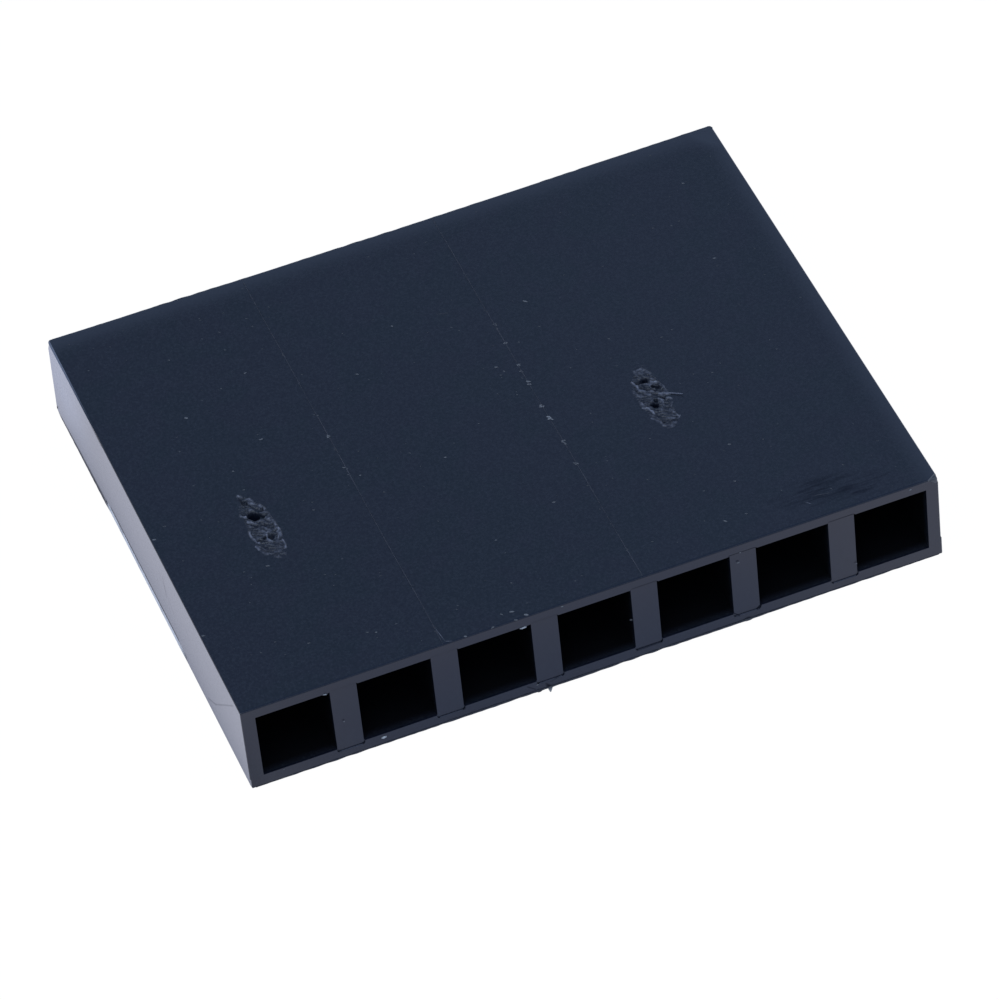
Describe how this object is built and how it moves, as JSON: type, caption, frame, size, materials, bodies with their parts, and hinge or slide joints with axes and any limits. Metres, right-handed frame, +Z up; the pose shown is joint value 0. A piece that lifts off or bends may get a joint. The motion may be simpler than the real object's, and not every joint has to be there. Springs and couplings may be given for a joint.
{
  "type": "crimp connector housing",
  "caption": "Slim one-row moulded housing with a row of square terminal cavities, open at the wire end, with latch tongues underneath and square pin holes in the mating wall.",
  "frame": {"origin": "centre of the underside, the face that the housing lies on", "axes": "+X along the row of cavities, -Y out of the wire-entry end, +Y out of the mating end, +Z up through the plain side that carries the gate marks"},
  "size_m": [0.0178, 0.014, 0.0026],
  "materials": {
    "moulded_plastic": "near-black blue-grey moulded thermoplastic with a low sheen"
  },
  "bodies": {
    "root": {"housing": "moulded_plastic"}
  },
  "joints": []
}
